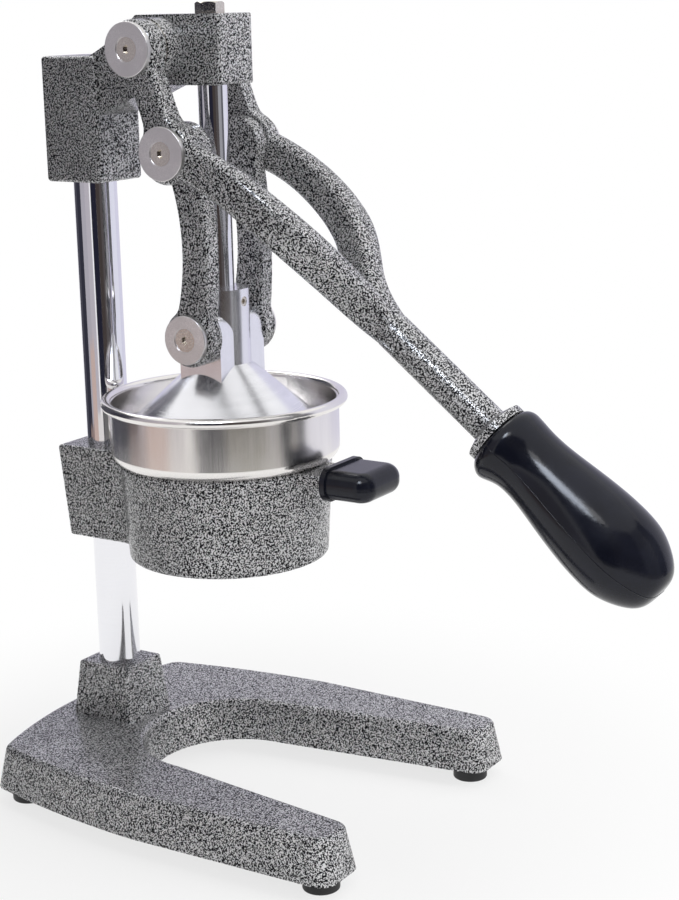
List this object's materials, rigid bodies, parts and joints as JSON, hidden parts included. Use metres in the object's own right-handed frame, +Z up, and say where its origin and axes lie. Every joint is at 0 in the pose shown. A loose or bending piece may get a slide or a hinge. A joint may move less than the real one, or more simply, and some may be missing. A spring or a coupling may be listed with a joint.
{
  "type": "citrus press juicer",
  "caption": "Hand lever citrus press: hammered grey castings, chromed column, steel bowl in a cup holder, and a turned cone pressed down by a forked lever through side links.",
  "frame": {"origin": "on the table under the middle of the bowl, where the press axis meets it", "axes": "+Z up along the press axis, -Y to the handle, +Y to the column, X from side to side"},
  "size_m": [0.1912, 0.3695, 0.4241],
  "materials": {
    "hammered_paint": "hammered grey paint, glossy",
    "chrome": "polished",
    "stainless_sheet": "brushed, with a polished rim",
    "turned_aluminium": "turned",
    "satin_steel": "satin",
    "bright_steel": "bright",
    "black_plastic": "glossy",
    "rubber": "matte"
  },
  "bodies": {
    "frame": {"base": "hammered_paint", "foot_front_left": "rubber", "foot_front_right": "rubber", "foot_rear_left": "rubber", "foot_rear_right": "rubber", "foot_screws": "bright_steel", "column": "chrome", "column_washer": "bright_steel", "column_bolt": "bright_steel", "head": "hammered_paint", "head_set_screws": "bright_steel", "head_pivot_pin": "bright_steel", "head_spacers": "bright_steel", "head_disc_left": "satin_steel", "head_disc_right": "satin_steel", "head_disc_screw_left": "bright_steel", "head_disc_screw_right": "bright_steel", "cup_holder": "hammered_paint", "cup_set_screws": "bright_steel", "tab_grip": "black_plastic", "bowl": "stainless_sheet", "funnel": "stainless_sheet", "strainer": "stainless_sheet"},
    "lever": {"lever": "hammered_paint", "lever_grip": "black_plastic", "mid_pin_left": "bright_steel", "mid_pin_right": "bright_steel", "mid_disc_left": "satin_steel", "mid_disc_right": "satin_steel", "mid_disc_screw_left": "bright_steel", "mid_disc_screw_right": "bright_steel"},
    "press": {"press_cone": "turned_aluminium", "press_set_screw": "bright_steel", "guide_rod": "chrome", "rod_stop_washer": "bright_steel", "rod_bolt": "bright_steel", "low_pin_left": "bright_steel", "low_pin_right": "bright_steel", "low_disc_left": "satin_steel", "low_disc_right": "satin_steel", "low_disc_screw_left": "bright_steel", "low_disc_screw_right": "bright_steel"},
    "link_left": {"link_left": "hammered_paint", "link_mid_pin_left": "bright_steel"},
    "link_right": {"link_right": "hammered_paint", "link_mid_pin_right": "bright_steel"}
  },
  "joints": [
    {"name": "lever_swing", "type": "hinge", "parent": "frame", "child": "lever", "pos_m": [0, 0.02, 0.402], "axis": [-1, 0, 0], "range_deg": [0, 80]},
    {"name": "press_slide", "type": "slide", "parent": "frame", "child": "press", "axis": [0, 0, 1], "range_m": [0, 0.06535]},
    {"name": "link_left_swing", "type": "hinge", "parent": "press", "child": "link_left", "pos_m": [0, 0, 0.2568], "axis": [1, 0, 0], "range_deg": [0, 21.45]},
    {"name": "link_right_swing", "type": "hinge", "parent": "press", "child": "link_right", "pos_m": [0, 0, 0.2568], "axis": [1, 0, 0], "range_deg": [0, 21.45]}
  ],
  "couplings": [
    {"joint": "press_slide", "follows": "lever_swing", "m_per_rad": 0.0468},
    {"joint": "link_left_swing", "follows": "lever_swing", "ratio": 0.268},
    {"joint": "link_right_swing", "follows": "lever_swing", "ratio": 0.268}
  ]
}
